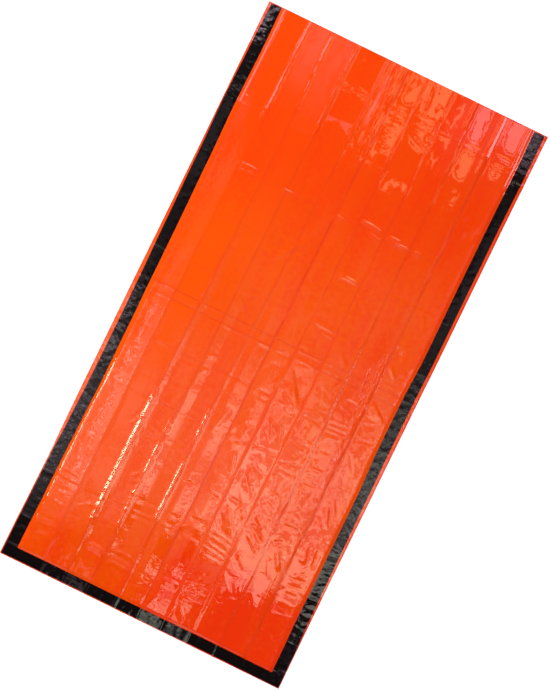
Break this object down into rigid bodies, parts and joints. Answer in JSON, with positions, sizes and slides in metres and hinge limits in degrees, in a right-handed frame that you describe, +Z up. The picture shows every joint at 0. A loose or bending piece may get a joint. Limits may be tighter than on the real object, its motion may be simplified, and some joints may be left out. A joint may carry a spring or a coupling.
{
  "type": "emergency sleeping bag",
  "caption": "Flat emergency sleeping bag of thin orange film with packing folds, open at the head end and closed by black tape along both long sides and the foot.",
  "frame": {"origin": "centre of the bounding box's base, on the floor under the middle of the bag", "axes": "+Y along the bag from the closed foot to the open mouth, +X across it to the right as seen from above with the mouth away, +Z up"},
  "size_m": [1.01, 2, 0.0178],
  "materials": {
    "back_film": "glossy thin film, creased",
    "front_film": "glossy thin film, creased",
    "seam_tape": "glossy black adhesive tape, finely wrinkled"
  },
  "bodies": {
    "root": {"back_panel": "back_film", "front_panel": "front_film", "left_seam_tape": "seam_tape", "right_seam_tape": "seam_tape", "foot_seam_tape": "seam_tape"}
  },
  "joints": []
}
